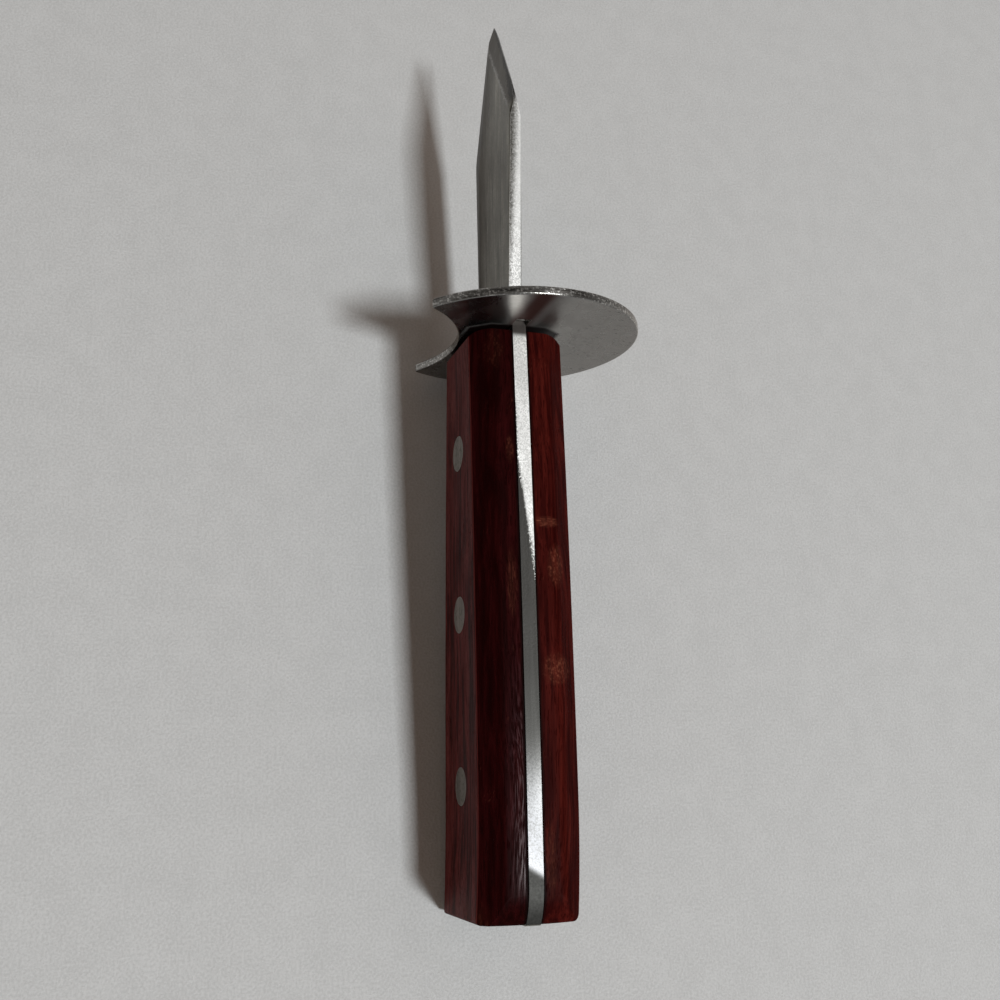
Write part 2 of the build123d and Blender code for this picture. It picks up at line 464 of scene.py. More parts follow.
class EdgeWear(Effect):
    """Where hard edges are rubbed, with a ragged border."""

    title = "Edge wear"
    takes = Effect.takes | {"Reach": (Kind.NUMBER, 0.3), "Ragged": (Kind.NUMBER, 0.5)}
    gives = {"Worn": Kind.NUMBER}

    def wire(self, wiring: Wiring, given: Any) -> dict[str, Socket]:
        """Compares the surface's normal with one that is rounded over the edge.

        Args:
            wiring: the group's tree.
            given: the place, how far the wear reaches and how ragged it is.

        Returns:
            A mask, 1 where the edge is worn.
        """
        radius = wiring.times(given["Reach"], MILLIMETRE)
        rounded = wiring.fed("ShaderNodeBevel", {"Radius": radius}, samples=6)
        normal = wiring.node("ShaderNodeNewGeometry").outputs["Normal"]
        like = wiring.vector("DOT_PRODUCT", rounded, normal)
        noise = wiring.noise(wiring.spread(given["Place"], (0.5, 0.5, 0.5)), 3.0)
        off = wiring.calc("SUBTRACT", 1.0, like)
        ragged = wiring.jitter(noise, given["Ragged"])
        worn = wiring.between(wiring.calc("ADD", off, ragged), 0.04, 0.16)
        return {"Worn": wiring.times(worn, wiring.between(off, 0.0, 0.02))}


class WoodGrain(Effect):
    """Straight-grained hardwood: bands, streaks and dark pore dashes."""

    title = "Wood grain"
    takes = Effect.takes | {
        "Dark": (Kind.COLOUR, (0.02, 0.005, 0.005, 1.0)),
        "Middle": (Kind.COLOUR, (0.1, 0.02, 0.015, 1.0)),
        "Light": (Kind.COLOUR, (0.2, 0.05, 0.03, 1.0)),
    }
    gives = {
        "Colour": Kind.COLOUR,
        "Pores": Kind.NUMBER,
        "Fibres": Kind.NUMBER,
        "Height": Kind.NUMBER,
    }

    def wire(self, wiring: Wiring, given: Any) -> dict[str, Socket]:
        """Lays bands, streaks, fibres and pores over each other along the knife.

        Args:
            wiring: the group's tree.
            given: the place and the grain's three tones.

        Returns:
            The colour, the pores, the fibres and a height.
        """
        sway = wiring.noise(wiring.spread(given["Place"], (30.0, 12.0, 12.0)), 1.0)
        aside = wiring.times(sway, 5.0)
        swayed = wiring.vector("ADD", given["Place"], wiring.joined(0.0, aside, aside))
        bands, streaks, fibres, dashes = (
            wiring.noise(wiring.spread(swayed, (length, width, width)), detail)
            for length, width, detail in (
                (34.0, 2.8, 3.0),
                (15.0, 0.8, 3.0),
                (5.0, 0.22, 2.0),
                (2.6, 0.16, 1.0),
            )
        )
        level = wiring.lerp(bands, 0.71, 0.54)
        pores = wiring.between(dashes, level, wiring.calc("ADD", level, 0.07))
        tone = wiring.lerp(0.55, bands, streaks)
        middling = wiring.between(tone, 0.36, 0.56)
        colour = wiring.blend(middling, given["Dark"], given["Middle"])
        bright = wiring.times(tone, wiring.lerp(0.5, tone, fibres))
        colour = wiring.blend(wiring.between(bright, 0.2, 0.42), colour, given["Light"])
        colour = wiring.lay(colour, given["Dark"], pores, 0.75)
        height = wiring.calc("SUBTRACT", wiring.times(fibres, 0.4), pores)
        return {"Colour": colour, "Pores": pores, "Fibres": fibres, "Height": height}


class RubbedPatch(Effect):
    """A small rubbed place, ragged and crossed by fine marks."""

    title = "Rubbed patch"
    takes = Effect.takes | {
        "Centre": (Kind.VECTOR, ORIGIN),
        "Reach": (Kind.VECTOR, (2.0, 2.0, 30.0)),
        "Stretch": (Kind.VECTOR, (0.5, 0.25, 0.25)),
    }
    gives = {"Rubbed": Kind.NUMBER}

    def wire(self, wiring: Wiring, given: Any) -> dict[str, Socket]:
        """Fades the patch out from its centre, with stronger marks in it.

        Args:
            wiring: the group's tree.
            given: the place, and the patch's centre, reach and marks' size.

        Returns:
            A mask, strongest in the marks.
        """
        away = wiring.vector("SUBTRACT", given["Place"], given["Centre"])
        away = wiring.spread(away, given["Reach"])
        inside = wiring.between(wiring.vector("DOT_PRODUCT", away, away), 1.0, 0.0)
        spread = wiring.spread(given["Place"], given["Stretch"])
        marks = wiring.lerp(0.65, wiring.cells(spread), wiring.noise(spread))
        strength = wiring.lerp(wiring.between(marks, 0.45, 0.8), 0.16, 0.9)
        return {"Rubbed": wiring.times(inside, strength)}


class Effects:
    """All the effects, each built once."""

    def __init__(self) -> None:
        """Builds the node groups."""
        self.axes = KnifeAxes()
        self.brushing = Brushing()
        self.speckle = Speckle()
        self.scratches = Scratches()
        self.smudges = Smudges()
        self.edge_wear = EdgeWear()
        self.grain = WoodGrain()
        self.rubbed = RubbedPatch()


class Surface(Wiring):
    """A new material's tree, with one Principled shader."""

    def __init__(self, title: str) -> None:
        """Makes the material.

        Args:
            title: the material's name.
        """
        self.material = bpy.data.materials.new(title)
        self.material.use_nodes = True
        self.material.node_tree.nodes.clear()
        super().__init__(self.material.node_tree)
        shader = self.node("ShaderNodeBsdfPrincipled")
        leave = self.node("ShaderNodeOutputMaterial")
        self.feed(leave.inputs["Surface"], shader.outputs[0])
        self.inputs = shader.inputs

    def shaded(self, values: dict[str, Any]) -> bpy.types.Material:
        """Feeds the shader.

        Args:
            values: a socket or a plain value for each input's name.

        Returns:
            The finished material.
        """
        for name, value in values.items():
            self.feed(self.inputs[name], value)
        return self.material


class KnifeSurface(Surface):
    """A material's tree that knows the knife's own axes and places effects on them."""

    def __init__(self, title: str, effects: Effects) -> None:
        """Makes the material and its axes.

        Args:
            title: the material's name.
            effects: the effects that the finish draws on.
        """
        super().__init__(title)
        axes = effects.axes.place(self)
        self.effects = effects
        self.place = axes["Place"]
        self.facing = axes["Facing"]

    def lines(self, stretch: Triple) -> Socket:
        """Brushed lines of the given size along each axis."""
        return self.effects.brushing.place(self, place=self.place, stretch=stretch)["Lines"]

    def clouds(self, stretch: Triple) -> Socket:
        """Smudges of the given size along each axis."""
        return self.effects.smudges.place(self, place=self.place, stretch=stretch)["Clouds"]

    def speckle(self, size: float, cover: float) -> Any:
        """Speckle of a size, with how much it covers."""
        return self.effects.speckle.place(self, place=self.place, size=size, cover=cover)

    def marks(self, slant: Triple, stretch: Triple, patch: float, cover: float) -> Socket:
        """Scratches.

        Args:
            slant: the angles that they are turned by.
            stretch: their size along each axis.
            patch: how large their patches are.
            cover: how much the patches cover.

        Returns:
            The marks' socket.
        """
        return self.effects.scratches.place(
            self, place=self.place, slant=slant, stretch=stretch, patch=patch, cover=cover
        )["Marks"]

    def worn(self, reach: float, ragged: float) -> Socket:
        """Wear along the hard edges, as far as reach in millimetres."""
        wear = self.effects.edge_wear
        return wear.place(self, place=self.place, reach=reach, ragged=ragged)["Worn"]


@dataclass(frozen=True)
class BladeSteel:
    """Satin steel: brushed flats, tumbled spine and tang, a grey diagonal zone of painted
    reflection on the tang's top, and painted reflected shade towards the edge.

    Places are millimetres from the heel along the knife's own axes. A span
    gives where a mask leaves 0 and where it reaches 1.
    """

    title: str = "blade_steel"
    flat_dark: Colour = (0.06, 0.056, 0.045)
    flat_light: Colour = (0.42, 0.398, 0.345)
    scratch: Colour = (0.03, 0.028, 0.024)
    painted_reflected_shade: Colour = (0.04, 0.032, 0.025)
    bright: Colour = (0.97, 0.955, 0.94)
    pitted: Colour = (0.57, 0.56, 0.55)
    smudged: Colour = (0.42, 0.405, 0.39)
    soft_pitted: Colour = (0.7, 0.69, 0.675)
    painted_slot_shade: Colour = (0.08, 0.07, 0.065)
    rear_painted_dim: Colour = (0.26, 0.26, 0.27)
    rear_painted_dim_pits: Colour = (0.228, 0.228, 0.238)
    dimmed_under_glare: Colour = (0.2, 0.198, 0.2)
    painted_dim_reflection_dark: Colour = (0.137, 0.134, 0.126)
    painted_dim_reflection: Colour = (0.205, 0.2, 0.19)
    end: Colour = (0.09, 0.088, 0.084)
    end_dark: Colour = (0.02, 0.02, 0.018)
    edge_dark: Colour = (0.03, 0.028, 0.026)
    clip_brown: Colour = (0.1, 0.091, 0.08)
    heel: Span = (2.4, 7.8)
    corner: Span = (44.3, 10.3)
    tip: Span = (67.6, -1.5)
    belly: Span = (43.5, -14.0)
    nose: Span = (64.9, -4.9)
    heel_edge: float = -10.0
    blade_start: Span = (1.0, 2.0)
    # The next three fields set the painted reflected shade: its Metallic, and how far it
    # reaches along and up.
    painted_shade_metallic: float = 0.55
    lower_run: Span = (10.0, 40.0)
    lower_reach: Span = (5.0, 12.5)
    clip_widths: Span = (1.55, 4.1)
    clip_rim_widths: Span = (0.9, 0.2)
    spine_end: Span = (47.2, 45.0)
    spine_border: Span = (-0.05, 1.25)
    spine_softness: Span = (1.15, 0.6)
    spine_ragged: float = 2.2
    shoulder_width: float = 1.1
    shoulder_drop: float = 0.36
    polish_across: Span = (0.9, -0.5)
    polish_along: Span = (4.0, 30.0)
    far_edge: Span = (-0.85, -1.2)
    tang_half: float = 1.25
    neck_back: Span = (-2.5, -1.3)
    neck_front: Span = (2.2, 1.8)
    # Where the tang's painted reflection bands dim, and where they dim further under the
    # lamp's reflection.
    rear: Span = (-54.0, -62.0)
    glare_along: Span = (-78.0, -88.0)
    facet_lean: float = 0.15
    facet_ragged: float = 0.9
    facet_front: float = -24.0
    facet_back: float = -51.0
    facet_start: Span = (-12.0, -18.0)
    facet_end: Span = (-90.0, -70.0)
    facet_border: Span = (-0.3, 0.4)
    butt_end: Span = (-93.0, -94.6)
    butt_slant: float = -0.6
    flat_roughness: Span = (0.24, 0.42)
    facet_roughness: float = 0.24
    end_roughness: float = 0.6
    relief_depth: float = 0.000018

    def clip(self, on: KnifeSurface, noise: Socket) -> tuple[Socket, Socket, Socket]:
        """The clip's ground facet, from the spine's corner to the tip.

        Args:
            on: the surface.
            noise: what makes the facet's borders ragged.

        Returns:
            Masks of the facet, of its inner crease, which gets a painted highlight, and of
            its dark outer rim.
        """
        run = Vector(self.tip) - Vector(self.corner)
        length = run.length
        run.normalize()
        away = on.vector("SUBTRACT", on.place, (self.corner[0], 0.0, self.corner[1]))
        along = on.vector("DOT_PRODUCT", away, (run.x, 0.0, run.y))
        inwards = on.vector("DOT_PRODUCT", away, (run.y, 0.0, -run.x))
        inwards = on.calc("ADD", inwards, on.jitter(noise, 0.5))
        share = on.calc("DIVIDE", along, length)
        past = on.calc("SUBTRACT", inwards, on.lerp(share, *self.clip_widths))
        facet = on.between(past, 0.1, -0.1)
        crease = on.between(on.calc("ABSOLUTE", past), 0.45, 0.0)
        dark = on.lerp(on.between(share, 0.05, 0.5), *self.clip_rim_widths)
        rim = on.between(inwards, dark, on.calc("SUBTRACT", dark, 0.25))
        near = on.between(share, 0.0, 0.08)
        return on.times(facet, near), on.times(crease, near), on.times(rim, near)

    def below_spine(self, on: KnifeSurface) -> Socket:
        """How far a place on the blade is below its spine.

        Args:
            on: the surface.

        Returns:
            The distance in millimetres.
        """
        along, _, height = on.parts(on.place)
        rise = (self.corner[1] - self.heel[1]) / (self.corner[0] - self.heel[0])
        risen = on.times(on.calc("SUBTRACT", along, self.heel[0]), rise)
        return on.calc("SUBTRACT", on.calc("ADD", self.heel[1], risen), height)

    def tumbled(self, on: KnifeSurface, on_top: Socket, noise: Socket) -> Socket:
        """Where the steel shines from tumbling: the spine, with a ragged border.

        Args:
            on: the surface.
            on_top: 1 where the surface faces upwards.
            noise: what makes the border ragged.

        Returns:
            A mask, 1 on the spine and the tang's top, fading at the blade's flats.
        """
        along, aside, _ = on.parts(on.place)
        below = on.calc("ADD", self.below_spine(on), self.tang_half)
        across = on.lerp(on_top, below, aside)
        heelwards = on.between(along, self.corner[0], self.heel[0])
        border = on.lerp(heelwards, *self.spine_border)
        softness = on.lerp(heelwards, *self.spine_softness)
        ragged = on.calc("ADD", across, on.jitter(noise, self.spine_ragged))
        past = on.calc("SUBTRACT", ragged, border)
        near = on.between(past, softness, on.times(softness, -1.0))
        spine = on.times(near, on.between(along, *self.spine_end))
        return on.lerp(on.between(along, *self.blade_start), on_top, spine)

    def lean(self, on: KnifeSurface, ground: Socket) -> Socket:
        """The lean of the bump under the tang's grey zone of painted reflection, and the
        rounding under the spine.

        Args:
            on: the surface.
            ground: where the grey zone of painted reflection is.

        Returns:
            A height in millimetres, for a bump.
        """
        along, aside, _ = on.parts(on.place)
        facet = on.times(aside, -self.facet_lean, ground)
        near = on.calc("DIVIDE", self.below_spine(on), -self.shoulder_width)
        near = on.calc("MAXIMUM", on.calc("ADD", near, 1.0), 0.0)
        near = on.calc("POWER", on.calc("MINIMUM", near, 1.0), 3.0)
        near = on.times(near, on.between(along, *self.blade_start))
        return on.calc("ADD", facet, on.times(near, -self.shoulder_drop))

    def towards_edge(self, on: KnifeSurface) -> Socket:
        """How far the painted reflected shade reaches on the flats, from their middle down
        to the cutting edge: it stands for the sheet's shadow seen in the steel.

        Args:
            on: the surface.

        Returns:
            A mask, 1 at the cutting edge.
        """
        along, _, height = on.parts(on.place)
        drop = (self.belly[1] - self.heel_edge) / (self.belly[0] - self.heel[0])
        rise = (self.nose[1] - self.belly[1]) / (self.nose[0] - self.belly[0])
        past_belly = on.calc("SUBTRACT", along, self.belly[0])
        above = on.calc("SUBTRACT", height, self.belly[1])
        behind = on.calc("SUBTRACT", above, on.times(past_belly, drop))
        ahead = on.calc("SUBTRACT", above, on.times(past_belly, rise))
        reach = on.lerp(on.between(along, *self.lower_run), *self.lower_reach)
        return on.between(on.calc("MINIMUM", behind, ahead), reach, 1.0)

    def flats(
        self, on: KnifeSurface, lines: Socket, clouds: Socket, spots: Socket
    ) -> tuple[Socket, Socket]:
        """The tone of the blade's brushed flats, its bevels and its clip.

        Args:
            on: the surface.
            lines: the brushing.
            clouds: the smudges.
            spots: specks, which also make the clip's borders ragged.

        Returns:
            The colour's socket and a mask of where the painted reflected shade lies,
            towards the cutting edge and on the bevels.
        """
        _, _, up = on.parts(on.facing)
        flat = on.blend(lines, self.flat_dark, self.flat_light)
        flat = on.lay(flat, self.flat_dark, clouds, 0.5)
        marks = on.marks((0.0, 0.5, 0.0), (2.5, 0.3, 0.2), patch=5.0, cover=0.7)
        flat = on.lay(flat, self.scratch, marks, 0.6)
        flat = on.lay(flat, self.flat_dark, spots, 0.3)
        # The bevels and the flats towards the edge get painted shade: a dark tone standing
        # for the sheet's shadow reflected in the steel.
        on_bevel = on.between(up, -0.02, -0.05)
        low = on.calc("MAXIMUM", on_bevel, on.times(self.towards_edge(on), 0.9))
        low = on.times(low, on.lerp(lines, 1.0, 0.75))
        flat = on.blend(low, flat, self.painted_reflected_shade)
        facet, crease, rim = self.clip(on, spots)
        flat = on.lay(flat, self.clip_brown, facet, 0.88)
        # A thin painted highlight along the clip's inner crease.
        flat = on.lay(flat, self.pitted, crease, 0.35)
        return on.lay(flat, self.edge_dark, rim, 0.9), low

    def grey_reflection_zone(self, on: KnifeSurface, noise: Socket) -> tuple[Socket, Socket]:
        """Where the tang's top gets a grey diagonal zone of painted reflection.

        Args:
            on: the surface.
            noise: what makes the facet's border ragged.

        Returns:
            Masks of the slanting facet and of the butt's end.
        """
        along, aside, _ = on.parts(on.place)
        gone = on.calc("SUBTRACT", self.facet_front, along)
        run = on.calc("DIVIDE", gone, self.facet_front - self.facet_back)
        border = on.lerp(run, self.tang_half, -self.tang_half - self.facet_ragged)
        past = on.calc("SUBTRACT", aside, border)
        past = on.calc("ADD", past, on.jitter(noise, self.facet_ragged))
        facet = on.times(
            on.between(past, *self.facet_border),
            on.between(along, *self.facet_end),
            on.between(along, *self.facet_start),
        )
        slanting = on.calc("ADD", along, on.times(aside, self.butt_slant))
        return facet, on.between(slanting, *self.butt_end)

    def tops(
        self, on: KnifeSurface, lines: Socket, clouds: Socket, speckle: Any
    ) -> tuple[Socket, Socket, Socket]:
        """The tone of the spine and of the tang's top.

        Args:
            on: the surface.
            lines: the brushing.
            clouds: the smudges.
            speckle: the sparkle's spots and height.

        Returns:
            The colour's socket and masks of the grey zone of painted reflection and of the
            butt's end.
        """
        along, aside, _ = on.parts(on.place)
        on_blade = on.between(along, *self.blade_start)
        # Painted reflection bands along the tang's top: dim past the rear mark and dimmer
        # where the lamp reflects most.
        rear = on.between(along, *self.rear)
        bright = on.blend(rear, self.bright, self.rear_painted_dim)
        bright = on.blend(on.between(along, *self.glare_along), bright, self.dimmed_under_glare)
        pitted = on.blend(on_blade, self.soft_pitted, self.pitted)
        pitted = on.blend(rear, pitted, self.rear_painted_dim_pits)
        polished = on.times(
            on.between(aside, *self.polish_across),
            0.75,
            on.between(along, *self.polish_along),
        )
        top = on.blend(on.calc("MAXIMUM", speckle["Spots"], polished), pitted, bright)
        top = on.blend(on.times(clouds, on.lerp(rear, 0.3, 0.0)), top, self.smudged)
        # Painted shade on the tang where it runs through the plate's slot and the gap
        # before the wood.
        at_neck = on.times(
            on.between(along, *self.neck_back), on.between(along, *self.neck_front)
        )
        top = on.blend(at_neck, top, self.painted_slot_shade)
        far_edge = on.times(on.between(aside, *self.far_edge), on_blade)
        top = on.lay(top, self.edge_dark, far_edge, 0.8)
        ground, end = self.grey_reflection_zone(on, speckle["Height"])
        # The grey diagonal zone is painted reflection: a darker tone where the tang's top
        # mirrors a darker room.
        top = on.lay(top, on.blend(lines, self.painted_dim_reflection_dark, self.painted_dim_reflection), ground, 0.95)
        ended = on.blend(speckle["Height"], self.end_dark, self.end)
        return on.blend(end, top, ended), ground, end

    def material(self, effects: Effects) -> bpy.types.Material:
        """Builds the material.

        Args:
            effects: the effects that it draws on.

        Returns:
            The finished material.
        """
        on = KnifeSurface(self.title, effects)
        lines = on.lines((16.0, 0.5, 0.5))
        speckle = on.speckle(0.22, 0.72)
        clouds = on.clouds((7.0, 2.5, 2.5))
        along, _, _ = on.parts(on.place)
        on_top = on.between(on.parts(on.facing)[2], 0.6, 0.8)
        tumbled = self.tumbled(on, on_top, speckle["Height"])
        flat, low = self.flats(on, lines, clouds, speckle["Spots"])
        flat = on.lay(flat, self.edge_dark, on_top, 0.4)
        top, ground, end = self.tops(on, lines, clouds, speckle)
        # Worn edges are laid brighter: partly real edge wear, partly a painted highlight
        # along the edges.
        rubbed = on.times(on.worn(0.35, 0.35), on.between(along, *self.blade_start))
        colour = on.lay(on.blend(tumbled, flat, top), self.bright, rubbed, 0.3)
        rear = on.between(along, *self.rear)
        dark_rough, bright_rough = on.lerp(rear, 0.6, 0.4), on.lerp(rear, 0.48, 0.28)
        rough = on.lerp(speckle["Spots"], dark_rough, bright_rough)
        rough = on.lerp(ground, rough, self.facet_roughness)
        rough = on.lerp(end, rough, self.end_roughness)
        pits = on.times(speckle["Height"], on.lerp(rear, 0.8, 0.25))
        leaning = on.relief(self.lean(on, ground), MILLIMETRE)
        # Metallic drops where the reflected shade is painted, so that the painted dark tone
        # shows.
        lowered_metallic = on.lerp(low, 1.0, self.painted_shade_metallic)
        return on.shaded(
            {
                "Base Color": colour,
                "Metallic": on.lerp(tumbled, lowered_metallic, 1.0),
                "Specular IOR Level": 0.0,
                "Roughness": on.lerp(tumbled, on.lerp(lines, *self.flat_roughness), rough),
                "Normal": on.relief(
                    on.lerp(tumbled, lines, pits), self.relief_depth, leaning
                ),
            }
        )


@dataclass(frozen=True)
class GuardSteel:
    """Satin plate: smudged faces, painted shade and reflection beside the tang, a painted
    shadow before the handle, and a brushed, nicked rim with painted glints and a painted
    edge highlight.
    """

    title: str = "guard_steel"
    face: Colour = (0.28, 0.275, 0.267)
    shade: Colour = (0.205, 0.201, 0.195)
    stain: Colour = (0.08, 0.078, 0.074)
    painted_shade_by_tang: Colour = (0.035, 0.016, 0.014)
    painted_gap_shadow: Colour = (0.006, 0.003, 0.003)
    nick_and_glint: Colour = (0.95, 0.93, 0.9)
    rim: Colour = (0.42, 0.405, 0.385)
    rim_dark: Colour = (0.03, 0.026, 0.022)
    sheen: Colour = (1.0, 0.96, 0.92)
    metallic_in_stains_and_shade: float = 0.1
    handle_half: float = 8.8
    handle_top: float = 9.6
    handle_slope: Triple = (5.2, 0.6, 0.8)
    gap_border: Span = (0.5, -0.6)
    tang_shade_across: Span = (4.0, 0.8)
    tang_shade_up: Span = (0.0, 4.0)
    stained_out_from: Span = (9.0, 13.0)
    satin_across: Span = (8.0, 1.5)
    relief_depth: float = 0.000015

    def by_handle(self, on: KnifeSurface) -> Socket:
        """Where the plate faces the handle's front end, in the gap before it, which gets a
        painted shadow.

        Args:
            on: the surface.

        Returns:
            A mask, 1 within the handle's outline.
        """
        _, aside, height = on.parts(on.place)
        across = on.calc("ABSOLUTE", aside)
        above = on.calc("SUBTRACT", on.calc("ABSOLUTE", height), self.handle_top)
        start, level, upright = self.handle_slope
        sloping = on.times(on.calc("SUBTRACT", across, start), level)
        slope = on.calc("ADD", sloping, on.times(above, upright))
        outside = on.calc("SUBTRACT", across, self.handle_half)
        for distance in (above, slope):
            outside = on.calc("MAXIMUM", outside, distance)
        return on.between(outside, *self.gap_border)

    def stained(self, on: KnifeSurface, clouds: Socket, behind: Socket) -> Socket:
        """Stains and mottle away from the handle, stronger on the rear face.

        Args:
            on: the surface.
            clouds: the smudges.
            behind: 1 on the rear face.

        Returns:
            A mask of the stains.
        """
        _, aside, _ = on.parts(on.place)
        stains = on.marks((-0.5, 0.0, 0.0), (4.0, 1.7, 0.35), patch=3.5, cover=0.8)
        stains = on.times(stains, on.lerp(behind, 0.45, 1.0))
        mottled = on.times(on.lines((4.0, 0.9, 0.35)), clouds, 0.6)
        clear = on.between(on.calc("ABSOLUTE", aside), *self.stained_out_from)
        return on.times(on.calc("MAXIMUM", stains, mottled), clear)

    def material(self, effects: Effects) -> bpy.types.Material:
        """Builds the material.

        Args:
            effects: the effects that it draws on.

        Returns:
            The finished material.
        """
        on = KnifeSurface(self.title, effects)
        clouds = on.clouds((7.0, 4.5, 5.5))
        marks = on.marks((0.6, 0.0, 0.0), (4.0, 2.4, 0.12), patch=6.0, cover=0.5)
        grit = on.speckle(0.3, 0.5)["Spots"]
        nicks_and_glints = on.speckle(0.28, 0.3)["Spots"]
        lines = on.lines((0.3, 5.0, 5.0))
        lengthways, _, _ = on.parts(on.facing)
        on_rim = on.between(on.calc("ABSOLUTE", lengthways), 0.9, 0.6)
        behind = on.between(lengthways, 0.0, -0.5)
        _, aside, height = on.parts(on.place)
        across = on.calc("ABSOLUTE", aside)
        # Painted shade and reflection beside the tang on the rear face: a dark wine tone
        # standing for the dark wood mirrored there.
        beside = on.times(
            on.between(across, *self.tang_shade_across),
            on.between(height, *self.tang_shade_up),
            behind,
        )
        # Painted contact shadow on the rear face, where the handle's front end stands
        # close.
        gap = on.times(self.by_handle(on), behind)
        stained = self.stained(on, clouds, behind)
        face = on.blend(clouds, self.shade, self.face)
        face = on.lay(face, self.shade, grit, 0.45)
        face = on.blend(stained, face, self.stain)
        face = on.lay(face, self.rim, marks, 0.28)
        face = on.blend(beside, face, self.painted_shade_by_tang)
        face = on.blend(gap, face, self.painted_gap_shadow)
        # The rim's small bright marks are laid near white: partly real damage, partly
        # painted glints.
        rim = on.lay(on.blend(lines, self.rim_dark, self.rim), self.nick_and_glint, nicks_and_glints, 0.7)
        painted_shade_near_tang = on.calc("MAXIMUM", beside, gap)
        # Worn edges take the same near-white tone: partly real edge wear, partly a painted
        # highlight along the edges.
        worn = on.times(on.worn(0.3, 0.6), on.lerp(painted_shade_near_tang, 0.6, 0.0))
        near = on.between(across, *self.satin_across)
        rough = on.lerp(near, on.lerp(clouds, 0.24, 0.29), 0.42)
        # Metallic drops under the stains and the painted shade, so that the painted dark
        # tones show.
        stains_and_painted_shade = on.calc("MAXIMUM", painted_shade_near_tang, on.times(stained, 0.5))
        lowered_metallic = on.lerp(stains_and_painted_shade, 1.0, self.metallic_in_stains_and_shade)
        relief = on.lerp(on_rim, on.times(marks, -0.3), lines)
        return on.shaded(
            {
                "Base Color": on.blend(worn, on.blend(on_rim, face, rim), self.nick_and_glint),
                "Metallic": on.lerp(on_rim, lowered_metallic, 1.0),
                "Specular IOR Level": 0.03,
                "Specular Tint": self.sheen,
                "Roughness": on.lerp(on_rim, rough, 0.24),
                "Normal": on.relief(relief, self.relief_depth),
            }
        )


@dataclass(frozen=True)
class WoodTones:
    """The three tones of a wood's grain."""

    dark: Colour
    middle: Colour
    light: Colour


@dataclass(frozen=True)
class Rub:
    """Where a patch is rubbed, in millimetres along the knife's own axes."""

    centre: Triple
    reach: Triple
    stretch: Triple
    strength: float


